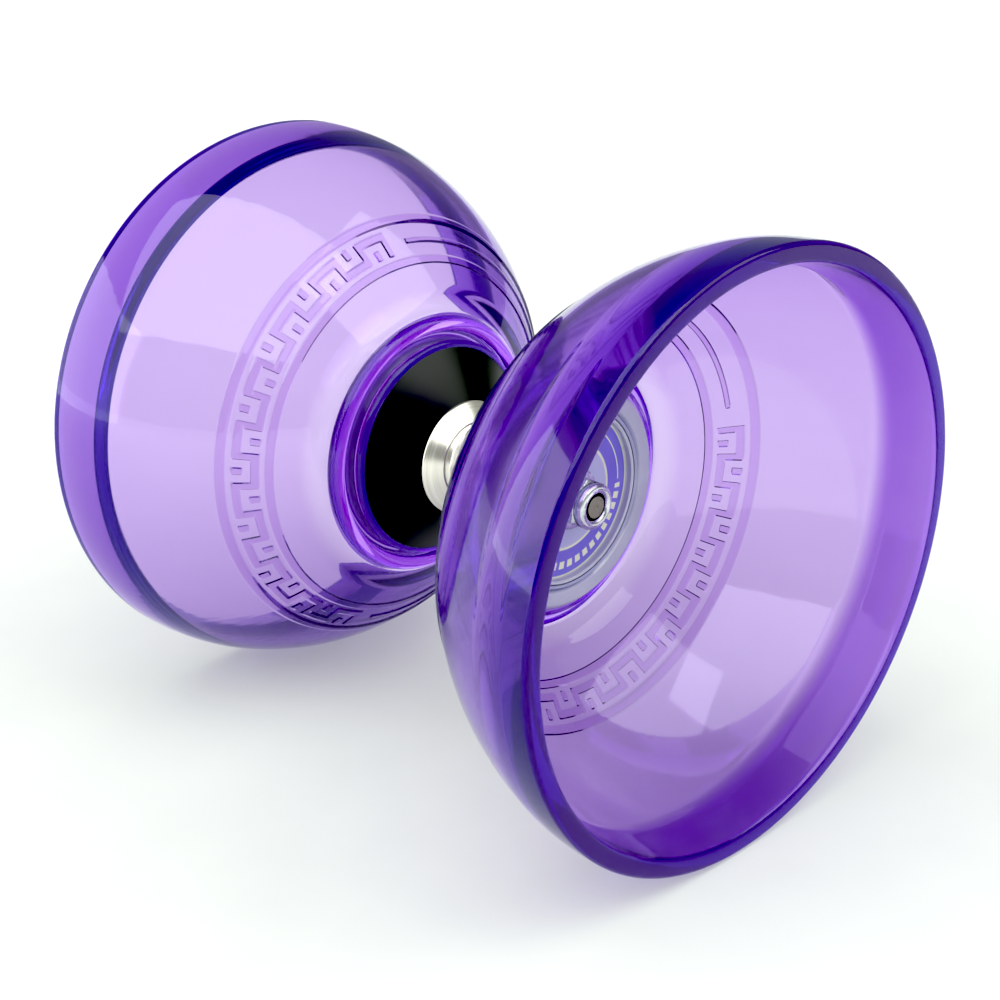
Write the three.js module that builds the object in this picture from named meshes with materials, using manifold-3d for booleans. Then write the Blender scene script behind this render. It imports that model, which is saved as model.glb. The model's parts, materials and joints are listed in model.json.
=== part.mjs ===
// A bearing diabolo: two flexible cups bolted back to back on a steel axle, with a waisted
// steel sleeve between them that carries the string and runs on two ball bearings and a
// one-way roller clutch.
//
// Millimetres. The origin is the middle of the axle, +X runs along the axle towards the
// right cup's mouth, and +Z is up. The toy lies on its two rims.
import * as THREE from "three";
import { mergeVertices } from "three/addons/utils/BufferGeometryUtils.js";
import Module from "manifold-3d";

const wasm = await Module();
wasm.setup();

// ---- Driving dimensions ----

// Whole toy
const RIM_RADIUS = 62.5;
const HALF_LENGTH = 70.8;
const FIT_GAP = 0.1; // between pieces that touch on the real toy
const RUNNING_GAP = 0.3; // between a turning piece and a fixed one

// Cup: a thin bowl, a thick band at the mouth, and a flat floor clamped on the axle
const BOWL_START = [19.3, 28.7]; // where the bowl leaves the lip, as [x, radius]
const BOWL_CONTROL = [31.1, 52.7]; // the Bezier handle that rounds the bowl
const BOWL_END = [57.5, 60.6]; // where the bowl meets the band
const BOWL_WALL = 2.2;
const BOWL_INNER_STEPS = 6;
const BOWL_INNER_SPAN = [0.12, 0.96]; // the share of the curve that the inner face follows
const BOWL_OUTER_STEPS = [2, 1, 3]; // before, between and after the raised rings
const BAND_START_RADIUS = 56.3; // inside the band, at its back edge
const BAND_MOUTH_RADIUS = 58.2; // inside the band, at the mouth
const BAND_STEP_X = 56.5; // where the wall starts to thicken into the band
const BAND_STEP_LENGTH = 5.0;
const BAND_CROWN = 0.25; // how far the band bulges between the bowl and the rim
const RIM_ROUNDING = 0.9;
const FLOOR_OUTER_X = 17.6;
const FLOOR_INNER_X = 20.7;
const WELL_RADIUS = 27.0; // where the bowl's inside meets the floor
const LIP_X = 17.5;
const LIP_INNER_RADIUS = 25.5;
const LIP_CREST_RADII = [26.3, 27.3];
const CHANNEL_X = 18.6; // bottom of the channel between the lip and the hub's seat
const SEAT_RING_X = 16.1; // the thin ring that stands round the edge of the hub
const SEAT_RING_WIDTH = 0.7;
const RIDGE_RADII = [39.4, 46.9]; // the two raised rings round the bowl
const RIDGE_WIDTH = 1.6;
const RIDGE_HEIGHT = 0.4;

// Hub: the black cone that leads the string down to the sleeve
const HUB_RADIUS = 22.3;
const HUB_EDGE_X = 16.0;
const HUB_NOSE_X = 9.0;
const HUB_NOSE_RADIUS = 11.9;
const HUB_SOCKET_X = 12.8;
const HUB_BOSS_RADIUS = 4.4;

// String sleeve
const GROOVE_BOTTOM_RADIUS = 9.0;
const GROOVE_HALF_WIDTH = 4.5;
const FLANGE_RADIUS = 11.6;
const FLANGE_EDGE = 0.2;
const SLEEVE_END_RADIUS = 10.4;

// Axle and fastenings: M6
const ROD_RADIUS = 3.0;
const ROD_HALF_LENGTH = 29.5;
const ROD_CHAMFER = 0.5;
const WASHER_RADIUS = 6.0;
const WASHER_BORE_GAP = 0.2;
const WASHER_THICKNESS = 1.2;
const NUT_ACROSS_FLATS = 10;
const NUT_HEX_HEIGHT = 4.2;
const NUT_CHAMFER = 0.6; // taken off the hexagon's corners, at 30 degrees to its faces
const NUT_COLLAR_RADIUS = 4.25;
const NUT_COLLAR_EDGE = 0.25;
const NUT_HEIGHT = 5.7;
const INSERT_RADIUS = 3.8;
const INSERT_LENGTH = 1.3;

// Inner disc: the translucent plate under the nut
const DISC_RADIUS = 23.5;
const DISC_FRONT_X = 22.0;
const DISC_RIM_X = 23.0;
const DISC_RIM_INNER_RADIUS = 19.0;
const DISC_RIM_SLOPE = 1.0; // the run of the slope inside the raised rim
const DISC_CHAMFER = 0.6;

// Ball bearing, 6 x 17 x 6
const BEARING_OUTER_RADIUS = 8.5;
const BEARING_WIDTH = 6.0;
const BEARING_START_X = 6.3;
const INNER_RING_SHOULDER = 4.7;
const OUTER_RING_SHOULDER = 6.85;
const BALL_COUNT = 7;
const BALL_RADIUS = 1.68;
const BALL_PITCH_RADIUS = 5.75;
const CAGE_INNER_RADIUS = 5.05;
const CAGE_OUTER_RADIUS = 6.5;
const CAGE_WIDTH = 4.4;
const SHIELD_THICKNESS = 0.35;
const SHIELD_INSET = 0.2;
const RACEWAY_GAP = 0.15; // between a ball and the bottom of its raceway
const RACEWAY_HALF_WIDTH = 1.45;
const RACEWAY_FLOOR_HALF_WIDTH = 0.85;
const RACEWAY_RISE = 0.2;
const POCKET_GAP = 0.2;

// One-way roller clutch on a plain inner race
const CLUTCH_HALF_LENGTH = 6.1;
const CLUTCH_RADIUS = 6.0;
const CLUTCH_WALL = 0.4;
const RACE_RADIUS = 4.0;
const ROLLER_COUNT = 6;
const ROLLER_RADIUS = 0.72;
const ROLLER_LENGTH = 8.0;
const ROLLER_PITCH_RADIUS = 4.8;
const ROLLER_CAGE_INNER_RADIUS = 4.2;
const ROLLER_CAGE_OUTER_RADIUS = 5.4;
const ROLLER_CAGE_HALF_LENGTH = 5.5;
const SLOT_GAP = 0.2; // round a roller in its cage
const CLUTCH_LIP_GAP = 0.4;

// Facets round a full turn
const CUP_FACETS = 40;
const HUB_FACETS = 40;
const SLEEVE_FACETS = 28;
const SMALL_FACETS = 20;
const ROLLER_FACETS = 12;
const POCKET_FACETS = 10;

// Solid modelling
const WELD_DISTANCE = 1e-4;
const CUT_OVERRUN = 1.0; // how far a cutting solid runs past the faces it cuts

// ---- Materials ----

const material = (color, roughness, metalness, opacity = 1) =>
  new THREE.MeshStandardMaterial({
    color,
    roughness,
    metalness,
    opacity,
    transparent: opacity < 1,
  });

const purplePlastic = material(0x7a3fd0, 0.15, 0, 0.6);
const blackPlastic = material(0x141414, 0.3, 0);
const smokePlastic = material(0x9aa0b8, 0.25, 0, 0.7);
const polishedSteel = material(0xd8d4c8, 0.12, 1);
const zincSteel = material(0xb9bbc0, 0.3, 1);
const bearingSteel = material(0xc4c6ca, 0.2, 1);
const nylon = material(0x2a2a2e, 0.5, 0);

// ---- Shape helpers ----

// A solid of revolution about X from [x, radius] points. A ring's points go round its
// section once; a solid shaft's points start and end on the axis. A flat facet faces down.
function turned(points, facets) {
  let doubleArea = 0;
  points.forEach(([x, r], i) => {
    const [nextX, nextR] = points[(i + 1) % points.length];
    doubleArea += x * nextR - nextX * r;
  });
  const ordered = doubleArea < 0 ? [...points] : [...points].reverse();
  const onAxis = points[0][1] === 0;
  if (!onAxis) ordered.push(ordered[0]);
  const outline = ordered.map(([x, r]) => new THREE.Vector2(r, x));
  const geometry = new THREE.LatheGeometry(outline, facets, Math.PI / facets);
  return geometry.rotateZ(-Math.PI / 2);
}

// A plain ring between two stations on the axle.
function ring(startX, endX, innerRadius, outerRadius, facets) {
  const section = [
    [startX, innerRadius],
    [endX, innerRadius],
    [endX, outerRadius],
    [startX, outerRadius],
  ];
  return turned(section, facets);
}

// A cylinder lying along X, centred on the origin.
const bar = (radius, length, sides) =>
  new THREE.CylinderGeometry(radius, radius, length, sides).rotateZ(Math.PI / 2);

// Three.js geometry to a manifold-3d solid, and back.
function solid(geometry) {
  const bare = geometry.clone();
  bare.deleteAttribute("normal");
  bare.deleteAttribute("uv");
  const merged = mergeVertices(bare, WELD_DISTANCE);
  return new wasm.Manifold(
    new wasm.Mesh({
      numProp: 3,
      vertProperties: new Float32Array(merged.attributes.position.array),
      triVerts: new Uint32Array(merged.index.array),
    }),
  );
}

function geometryOf(body) {
  const mesh = body.getMesh();
  const geometry = new THREE.BufferGeometry();
  geometry.setAttribute("position", new THREE.BufferAttribute(mesh.vertProperties, 3));
  geometry.setIndex(new THREE.BufferAttribute(mesh.triVerts, 1));
  geometry.computeVertexNormals();
  return geometry;
}

function addPiece(group, name, geometry, pieceMaterial) {
  const mesh = new THREE.Mesh(geometry, pieceMaterial);
  mesh.name = name;
  group.add(mesh);
  return mesh;
}

// ---- Cup ----

// The bowl's outer outline from the lip to the band.
const bowlCurve = new THREE.QuadraticBezierCurve(
  new THREE.Vector2(...BOWL_START),
  new THREE.Vector2(...BOWL_CONTROL),
  new THREE.Vector2(...BOWL_END),
);

// Points along the bowl, moved inwards from its outer face by depth.
function bowlPoints(depth, from, to, steps) {
  const points = [];
  for (let i = 0; i <= steps; i += 1) {
    const t = from + ((to - from) * i) / steps;
    const point = bowlCurve.getPoint(t);
    const along = bowlCurve.getTangent(t);
    points.push([point.x + depth * along.y, point.y - depth * along.x]);
  }
  return points;
}

// The bowl's curve parameter where its outer face has the given radius.
function bowlParameterAt(radius) {
  let low = 0;
  let high = 1;
  while (high - low > WELD_DISTANCE) {
    const middle = (low + high) / 2;
    if (bowlCurve.getPoint(middle).y < radius) low = middle;
    else high = middle;
  }
  return low;
}

// The outer face with its two raised rings.
function ridgedBowl() {
  const points = [];
  let start = 0;
  const halfStep = RIDGE_WIDTH / 2 / bowlCurve.getLength();
  RIDGE_RADII.forEach((radius, i) => {
    const middle = bowlParameterAt(radius);
    points.push(...bowlPoints(0, start, middle - halfStep, BOWL_OUTER_STEPS[i]));
    points.push(...bowlPoints(-RIDGE_HEIGHT, middle, middle, 1).slice(1));
    start = middle + halfStep;
  });
  points.push(...bowlPoints(0, start, 1, BOWL_OUTER_STEPS[2]));
  return points;
}

function cupGeometry() {
  const seatInner = HUB_RADIUS + FIT_GAP;
  const seatOuter = seatInner + SEAT_RING_WIDTH;
  const bore = ROD_RADIUS + FIT_GAP;
  const bandStart = BAND_STEP_X + BAND_STEP_LENGTH;
  const inside = bowlPoints(BOWL_WALL, ...BOWL_INNER_SPAN, BOWL_INNER_STEPS).reverse();
  const points = [
    [FLOOR_OUTER_X, bore],
    [FLOOR_OUTER_X, seatInner],
    [SEAT_RING_X, seatInner],
    [SEAT_RING_X, seatOuter],
    [CHANNEL_X, seatOuter],
    [CHANNEL_X, LIP_INNER_RADIUS],
    [LIP_X, LIP_CREST_RADII[0]],
    [LIP_X, LIP_CREST_RADII[1]],
    ...ridgedBowl(),
    [(BOWL_END[0] + HALF_LENGTH) / 2, (BOWL_END[1] + RIM_RADIUS) / 2 + BAND_CROWN],
    [HALF_LENGTH - RIM_ROUNDING, RIM_RADIUS],
    [HALF_LENGTH, RIM_RADIUS - RIM_ROUNDING],
    [HALF_LENGTH, BAND_MOUTH_RADIUS + RIM_ROUNDING],
    [HALF_LENGTH - RIM_ROUNDING, BAND_MOUTH_RADIUS],
    [bandStart, BAND_START_RADIUS],
    ...inside,
    [FLOOR_INNER_X, WELL_RADIUS],
    [FLOOR_INNER_X, bore],
  ];
  return turned(points, CUP_FACETS);
}

// ---- Hub, disc and sleeve ----

function hubGeometry() {
  const bearingEnd = BEARING_START_X + BEARING_WIDTH;
  const socketRadius = SLEEVE_END_RADIUS + RUNNING_GAP;
  const bore = ROD_RADIUS + FIT_GAP;
  const points = [
    [FLOOR_OUTER_X - FIT_GAP, bore],
    [FLOOR_OUTER_X - FIT_GAP, HUB_RADIUS],
    [HUB_EDGE_X, HUB_RADIUS],
    [HUB_NOSE_X, HUB_NOSE_RADIUS],
    [HUB_NOSE_X, socketRadius],
    [HUB_SOCKET_X, socketRadius],
    [HUB_SOCKET_X, HUB_BOSS_RADIUS],
    [bearingEnd + FIT_GAP, HUB_BOSS_RADIUS],
    [bearingEnd + FIT_GAP, bore],
  ];
  return turned(points, HUB_FACETS);
}

function discGeometry() {
  const back = FLOOR_INNER_X + FIT_GAP;
  const bore = ROD_RADIUS + FIT_GAP;
  const points = [
    [back, bore],
    [back, DISC_RADIUS],
    [DISC_RIM_X - DISC_CHAMFER, DISC_RADIUS],
    [DISC_RIM_X, DISC_RADIUS - DISC_CHAMFER],
    [DISC_RIM_X, DISC_RIM_INNER_RADIUS],
    [DISC_FRONT_X, DISC_RIM_INNER_RADIUS - DISC_RIM_SLOPE],
    [DISC_FRONT_X, bore],
  ];
  return turned(points, HUB_FACETS);
}

function sleeveGeometry() {
  const flangeFace = HUB_NOSE_X - RUNNING_GAP;
  const end = HUB_SOCKET_X - RUNNING_GAP;
  const seat = BEARING_START_X - FIT_GAP;
  const outerHalf = [
    [GROOVE_HALF_WIDTH, GROOVE_BOTTOM_RADIUS],
    [flangeFace - FLANGE_EDGE, FLANGE_RADIUS],
    [flangeFace, FLANGE_RADIUS],
    [flangeFace, SLEEVE_END_RADIUS],
    [end, SLEEVE_END_RADIUS],
    [end, BEARING_OUTER_RADIUS + FIT_GAP],
    [seat, BEARING_OUTER_RADIUS + FIT_GAP],
    [seat, CLUTCH_RADIUS + FIT_GAP],
  ];
  const mirrored = outerHalf.map(([x, r]) => [-x, r]).reverse();
  return turned([...outerHalf, ...mirrored], SLEEVE_FACETS);
}

// ---- Fastenings ----

const WASHER_START_X = DISC_FRONT_X + FIT_GAP;
const NUT_START_X = WASHER_START_X + WASHER_THICKNESS + FIT_GAP;

function rodGeometry() {
  const shoulder = ROD_HALF_LENGTH - ROD_CHAMFER;
  const points = [
    [-ROD_HALF_LENGTH, 0],
    [-ROD_HALF_LENGTH, ROD_RADIUS - ROD_CHAMFER],
    [-shoulder, ROD_RADIUS],
    [shoulder, ROD_RADIUS],
    [ROD_HALF_LENGTH, ROD_RADIUS - ROD_CHAMFER],
    [ROD_HALF_LENGTH, 0],
  ];
  return turned(points, SMALL_FACETS);
}

// A hexagon with a chamfered foot and a round collar, bored for the rod and the insert.
function nutGeometry() {
  const cornerRadius = NUT_ACROSS_FLATS / 2 / Math.cos(Math.PI / 6);
  const chamferSlope = Math.tan(Math.PI / 3);
  const cutRadius = cornerRadius - NUT_CHAMFER - CUT_OVERRUN * chamferSlope;
  const fullRadius = cornerRadius - NUT_CHAMFER + NUT_CHAMFER * chamferSlope;
  const end = NUT_START_X + NUT_HEIGHT;
  const hexEnd = NUT_START_X + NUT_HEX_HEIGHT;
  const hexagon = solid(
    bar(cornerRadius, NUT_HEX_HEIGHT, 6).translate(NUT_START_X + NUT_HEX_HEIGHT / 2, 0, 0),
  );
  const roundedCorners = solid(
    turned(
      [
        [NUT_START_X - CUT_OVERRUN, 0],
        [NUT_START_X - CUT_OVERRUN, cutRadius],
        [NUT_START_X + NUT_CHAMFER, fullRadius],
        [hexEnd - NUT_CHAMFER, fullRadius],
        [hexEnd + CUT_OVERRUN, cutRadius],
        [hexEnd + CUT_OVERRUN, 0],
      ],
      SMALL_FACETS,
    ),
  );
  const collar = solid(
    turned(
      [
        [hexEnd - CUT_OVERRUN, 0],
        [hexEnd - CUT_OVERRUN, NUT_COLLAR_RADIUS],
        [end - NUT_COLLAR_EDGE, NUT_COLLAR_RADIUS],
        [end, NUT_COLLAR_RADIUS - NUT_COLLAR_EDGE],
        [end, 0],
      ],
      SMALL_FACETS,
    ),
  );
  const bores = solid(
    turned(
      [
        [NUT_START_X - CUT_OVERRUN, 0],
        [NUT_START_X - CUT_OVERRUN, ROD_RADIUS + FIT_GAP],
        [end - INSERT_LENGTH, ROD_RADIUS + FIT_GAP],
        [end - INSERT_LENGTH, INSERT_RADIUS],
        [end + CUT_OVERRUN, INSERT_RADIUS],
        [end + CUT_OVERRUN, 0],
      ],
      SMALL_FACETS,
    ),
  );
  return geometryOf(hexagon.intersect(roundedCorners).add(collar).subtract(bores));
}

const nutInsertGeometry = () => {
  const end = NUT_START_X + NUT_HEIGHT;
  return ring(
    end - INSERT_LENGTH + FIT_GAP,
    end - FIT_GAP,
    ROD_RADIUS + FIT_GAP,
    INSERT_RADIUS - FIT_GAP,
    SMALL_FACETS,
  );
};

// ---- Ball bearing ----

const BEARING_MIDDLE_X = BEARING_START_X + BEARING_WIDTH / 2;

// One ring of the bearing, with a raceway sunk into its shoulder.
function raceRing(wallRadius, shoulderRadius) {
  const sink = Math.sign(wallRadius - shoulderRadius);
  const half = BEARING_WIDTH / 2;
  const raceway = BALL_PITCH_RADIUS + sink * (BALL_RADIUS + RACEWAY_GAP);
  const racewaySide = raceway - sink * RACEWAY_RISE;
  const points = [
    [-half, wallRadius],
    [half, wallRadius],
    [half, shoulderRadius],
    [RACEWAY_HALF_WIDTH, shoulderRadius],
    [RACEWAY_FLOOR_HALF_WIDTH, racewaySide],
    [0, raceway],
    [-RACEWAY_FLOOR_HALF_WIDTH, racewaySide],
    [-RACEWAY_HALF_WIDTH, shoulderRadius],
    [-half, shoulderRadius],
  ];
  const placed = points.map(([x, r]) => [x + BEARING_MIDDLE_X, r]);
  return turned(placed, SMALL_FACETS);
}

// The centre of ball or roller number i on its pitch circle.
function pitchPoint(i, count, x, radius) {
  const angle = (2 * Math.PI * (i + 0.5)) / count;
  return new THREE.Vector3(x, radius * Math.sin(angle), radius * Math.cos(angle));
}

function ballCageGeometry() {
  const half = CAGE_WIDTH / 2;
  const band = ring(
    BEARING_MIDDLE_X - half,
    BEARING_MIDDLE_X + half,
    CAGE_INNER_RADIUS,
    CAGE_OUTER_RADIUS,
    SMALL_FACETS,
  );
  let cage = solid(band);
  const pocketRadius = BALL_RADIUS + POCKET_GAP;
  for (let i = 0; i < BALL_COUNT; i += 1) {
    const centre = pitchPoint(i, BALL_COUNT, BEARING_MIDDLE_X, BALL_PITCH_RADIUS);
    const outward = new THREE.Vector3(0, centre.y, centre.z).normalize();
    const turn = new THREE.Quaternion().setFromUnitVectors(
      new THREE.Vector3(1, 0, 0),
      outward,
    );
    const pocket = bar(pocketRadius, 2 * BALL_RADIUS, POCKET_FACETS)
      .applyQuaternion(turn)
      .translate(centre.x, centre.y, centre.z);
    cage = cage.subtract(solid(pocket));
  }
  return geometryOf(cage);
}

function addBearing(group, side) {
  const outerWall = BEARING_OUTER_RADIUS;
  const innerWall = ROD_RADIUS + FIT_GAP;
  const innerRing = raceRing(innerWall, INNER_RING_SHOULDER);
  const outerRing = raceRing(outerWall, OUTER_RING_SHOULDER);
  addPiece(group, `${side}_bearing_inner_ring`, innerRing, bearingSteel);
  addPiece(group, `${side}_bearing_outer_ring`, outerRing, bearingSteel);
  addPiece(group, `${side}_bearing_cage`, ballCageGeometry(), nylon);
  for (let i = 0; i < BALL_COUNT; i += 1) {
    const ball = new THREE.IcosahedronGeometry(BALL_RADIUS, 1);
    const mesh = addPiece(group, `${side}_ball_${i + 1}`, ball, bearingSteel);
    mesh.position.copy(pitchPoint(i, BALL_COUNT, BEARING_MIDDLE_X, BALL_PITCH_RADIUS));
  }
  const shieldStart = {
    inboard: BEARING_START_X + SHIELD_INSET,
    outboard: BEARING_START_X + BEARING_WIDTH - SHIELD_INSET - SHIELD_THICKNESS,
  };
  for (const [place, startX] of Object.entries(shieldStart)) {
    const shield = ring(
      startX,
      startX + SHIELD_THICKNESS,
      INNER_RING_SHOULDER + RUNNING_GAP,
      OUTER_RING_SHOULDER - FIT_GAP,
      SMALL_FACETS,
    );
    addPiece(group, `${side}_${place}_shield`, shield, bearingSteel);
  }
}

// ---- One-way clutch ----

function clutchShellGeometry() {
  const half = CLUTCH_HALF_LENGTH;
  const bore = CLUTCH_RADIUS - CLUTCH_WALL;
  const lipRadius = RACE_RADIUS + CLUTCH_LIP_GAP;
  const points = [
    [-half, CLUTCH_RADIUS],
    [half, CLUTCH_RADIUS],
    [half, lipRadius],
    [half - CLUTCH_WALL, lipRadius],
    [half - CLUTCH_WALL, bore],
    [CLUTCH_WALL - half, bore],
    [CLUTCH_WALL - half, lipRadius],
    [-half, lipRadius],
  ];
  return turned(points, SMALL_FACETS);
}

function rollerCageGeometry() {
  const half = ROLLER_CAGE_HALF_LENGTH;
  const band = ring(
    -half,
    half,
    ROLLER_CAGE_INNER_RADIUS,
    ROLLER_CAGE_OUTER_RADIUS,
    SMALL_FACETS,
  );
  const slotLength = ROLLER_LENGTH + SLOT_GAP;
  const slotWidth = 2 * ROLLER_RADIUS + SLOT_GAP;
  const slotDepth = 2 * (ROLLER_CAGE_OUTER_RADIUS - ROLLER_CAGE_INNER_RADIUS);
  let cage = solid(band);
  for (let i = 0; i < ROLLER_COUNT; i += 1) {
    const centre = pitchPoint(i, ROLLER_COUNT, 0, ROLLER_PITCH_RADIUS);
    const angle = Math.atan2(-centre.y, centre.z);
    const slot = new THREE.BoxGeometry(slotLength, slotWidth, slotDepth)
      .rotateX(angle)
      .translate(centre.x, centre.y, centre.z);
    cage = cage.subtract(solid(slot));
  }
  return geometryOf(cage);
}

function addClutch(group) {
  const race = ring(
    -CLUTCH_HALF_LENGTH,
    CLUTCH_HALF_LENGTH,
    ROD_RADIUS + FIT_GAP,
    RACE_RADIUS,
    SMALL_FACETS,
  );
  addPiece(group, "clutch_inner_race", race, bearingSteel);
  addPiece(group, "clutch_shell", clutchShellGeometry(), bearingSteel);
  addPiece(group, "clutch_cage", rollerCageGeometry(), nylon);
  for (let i = 0; i < ROLLER_COUNT; i += 1) {
    const roller = bar(ROLLER_RADIUS, ROLLER_LENGTH, ROLLER_FACETS);
    const mesh = addPiece(group, `clutch_roller_${i + 1}`, roller, bearingSteel);
    mesh.position.copy(pitchPoint(i, ROLLER_COUNT, 0, ROLLER_PITCH_RADIUS));
  }
}

// ---- Assembly ----

// Everything that is on one side of the toy, built on the right-hand side.
function halfToy(side) {
  const half = new THREE.Group();
  const washer = ring(
    WASHER_START_X,
    WASHER_START_X + WASHER_THICKNESS,
    ROD_RADIUS + WASHER_BORE_GAP,
    WASHER_RADIUS,
    SMALL_FACETS,
  );
  addPiece(half, `${side}_cup`, cupGeometry(), purplePlastic);
  addPiece(half, `${side}_hub`, hubGeometry(), blackPlastic);
  addPiece(half, `${side}_inner_disc`, discGeometry(), smokePlastic);
  addPiece(half, `${side}_washer`, washer, zincSteel);
  addPiece(half, `${side}_lock_nut`, nutGeometry(), zincSteel);
  addPiece(half, `${side}_nut_insert`, nutInsertGeometry(), nylon);
  addBearing(half, side);
  return half;
}

const diabolo = new THREE.Group();
diabolo.name = "diabolo";
const rightHalf = halfToy("right");
const leftHalf = halfToy("left");
leftHalf.rotation.z = Math.PI;
diabolo.add(rightHalf, leftHalf);
addPiece(diabolo, "axle_rod", rodGeometry(), zincSteel);
addPiece(diabolo, "string_sleeve", sleeveGeometry(), polishedSteel);
addClutch(diabolo);

export default diabolo;
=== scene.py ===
import json
import math

import bmesh
import bpy
import numpy as np
from mathutils import Matrix, Vector

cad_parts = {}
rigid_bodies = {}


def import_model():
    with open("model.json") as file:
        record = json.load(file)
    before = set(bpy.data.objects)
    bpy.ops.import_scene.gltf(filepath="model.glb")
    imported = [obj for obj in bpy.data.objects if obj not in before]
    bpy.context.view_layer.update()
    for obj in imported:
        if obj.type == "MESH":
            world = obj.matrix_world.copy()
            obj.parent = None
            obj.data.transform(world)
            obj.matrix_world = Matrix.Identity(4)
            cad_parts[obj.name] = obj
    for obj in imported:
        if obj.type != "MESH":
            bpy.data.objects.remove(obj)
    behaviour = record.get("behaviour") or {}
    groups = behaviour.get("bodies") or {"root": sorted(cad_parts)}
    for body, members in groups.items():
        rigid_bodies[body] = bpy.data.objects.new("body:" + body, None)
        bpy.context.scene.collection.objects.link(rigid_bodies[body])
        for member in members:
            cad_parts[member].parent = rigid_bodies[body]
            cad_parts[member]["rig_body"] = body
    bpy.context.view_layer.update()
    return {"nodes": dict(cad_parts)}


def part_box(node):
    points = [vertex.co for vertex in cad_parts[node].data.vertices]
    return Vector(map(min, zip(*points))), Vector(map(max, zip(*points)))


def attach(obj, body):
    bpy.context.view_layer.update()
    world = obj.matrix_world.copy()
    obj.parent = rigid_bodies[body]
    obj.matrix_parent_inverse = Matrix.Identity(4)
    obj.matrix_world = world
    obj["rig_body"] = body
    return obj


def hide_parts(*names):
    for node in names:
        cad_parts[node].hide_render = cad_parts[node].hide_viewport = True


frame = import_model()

MM = 0.001

# ---- Driving dimensions, in millimetres ----

HALF_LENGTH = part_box("right_cup")[1].x / MM
RIM_RADIUS = 62.5
FIT_GAP = 0.1

# Cup
BOWL_START = (19.3, 28.7)
BOWL_CONTROL = (31.1, 52.7)
BOWL_END = (57.5, 60.6)
BOWL_WALL = 2.2
BOWL_INNER_SHARES = (0.12, 0.95)
BAND_CONTROL = (62.6, 62.1)
BAND_INNER_START = (61.5, 56.3)
BAND_INNER_CONTROL = (65.5, 57.2)
MOUTH_RADIUS = 58.2
RIM_ROUNDING = 1.1
FLOOR_OUTER_X = 17.6
FLOOR_INNER_X = 20.7
WELL_RADIUS = 27.0
WELL_CORNER_RADIUS = 29.6
LIP_X = 17.4
LIP_CENTRE = (19.0, 26.9)
LIP_HALF_WIDTH = 1.6
LIP_SWEEP = (-76.0, 82.0)
CHANNEL_X = 18.6
COLLAR_X = 22.0
COLLAR_RADII = (23.7, 25.2)
SEAT_RING_X = 16.1
SEAT_RING_WIDTH = 0.7

# Hub: a cone with a pocket that the sleeve's end turns in, and a spigot against the bearing
HUB_RADIUS = 22.3
HUB_BACK_X = 17.5
HUB_SHOULDER_X = 16.0
HUB_NOSE_X = 9.0
HUB_NOSE_RADIUS = 11.9
POCKET_RADIUS = 10.7
POCKET_FLOOR_X = 12.8
SPIGOT_RADIUS = 4.4
SPIGOT_X = 12.4

# Sleeve: a straight waist, flanges that flare to the hubs, and a step for each bearing
WAIST_HALF_LENGTH = 4.5
WAIST_RADIUS = 9.0
FLANGE_RADIUS = 11.6
FLANGE_INNER_X = 8.55
FLANGE_OUTER_X = 8.7
SLEEVE_END_X = 12.5
SLEEVE_END_RADIUS = 10.4
BEARING_STEP_X = 6.2
BEARING_BORE = 8.6
CLUTCH_BORE = 6.1

# Raised decoration round the bowl
RELIEF_HEIGHT = 0.3
RELIEF_BEVEL = 0.2
RELIEF_SHARP_ANGLE = 50.0
RING_RADII = (39.4, 46.9)
RING_WIDTH = 1.6
MIDDLE_RING_RADIUS = 43.0
MIDDLE_RING_WIDTH = 1.0
MOTIF_RADII = (40.9, 45.4)
MOTIF_COUNT = 9
MOTIF_START = 8.0
MOTIF_PITCH = -17.2
MIDDLE_RING_GAP = 6.0

# One motif's bars as (start, end, inner, outer): shares of its pitch and of its height
MOTIF_BARS = (
    (0.0, 0.125, 0.0, 1.0),
    (0.0, 0.625, 0.67, 1.0),
    (0.5, 0.625, 0.0, 1.0),
    (0.5, 1.125, 0.0, 0.33),
    (0.25, 0.375, 0.0, 0.42),
    (0.75, 0.875, 0.58, 1.0),
)
MOTIF_BAR_WIDTH = 0.125

# Axle and fastenings
ROD_RADIUS = 3.0
ROD_HALF_LENGTH = 29.5
ROD_CHAMFER = 0.7
ROD_END_RINGS = (0.0, 0.8, 1.6)
THREAD_PITCH = 1.0
THREAD_DEPTH = 0.5
THREAD_START_X = 17.0
THREAD_FLANK = 1.5
THREAD_STEP = 0.1
WASHER_START_X = 22.1
WASHER_END_X = 23.3
WASHER_BORE = 3.2
WASHER_RADIUS = 6.0
NUT_START_X = 23.4
NUT_ACROSS_FLATS = 9.8
NUT_CORNER_RADIUS = 5.5
NUT_FACE_RADIUS = 4.75
NUT_HEX_HEIGHT = 4.2
NUT_HEIGHT = 5.7
NUT_CHAMFER_LENGTH = 0.8
NUT_CHAMFER_SLOPE = math.sqrt(3)
NUT_SHARP_ANGLE = 22.0
NUT_COLLAR_RADIUS = 4.25
NUT_MOUTH_RADIUS = 3.6
INSERT_RADIUS = 3.8
INSERT_LENGTH = 1.3
NUT_CRIMP = 0.35

# Painted glow: emission standing in for light that the plastic pipes to its edges, brightest at
# the lip and the rim, as (x, colour)
PAINTED_EDGE_GLOW = (
    (16.0, (0.04, 0.01, 0.25)),
    (17.3, (0.2, 0.04, 0.4)),
    (18.2, (0.06, 0.01, 0.22)),
    (18.6, (0.02, 0.0, 0.09)),
    (19.4, (0.006, 0.0, 0.02)),
    (69.2, (0.006, 0.0, 0.02)),
    (70.6, (0.04, 0.0, 0.17)),
)

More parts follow.
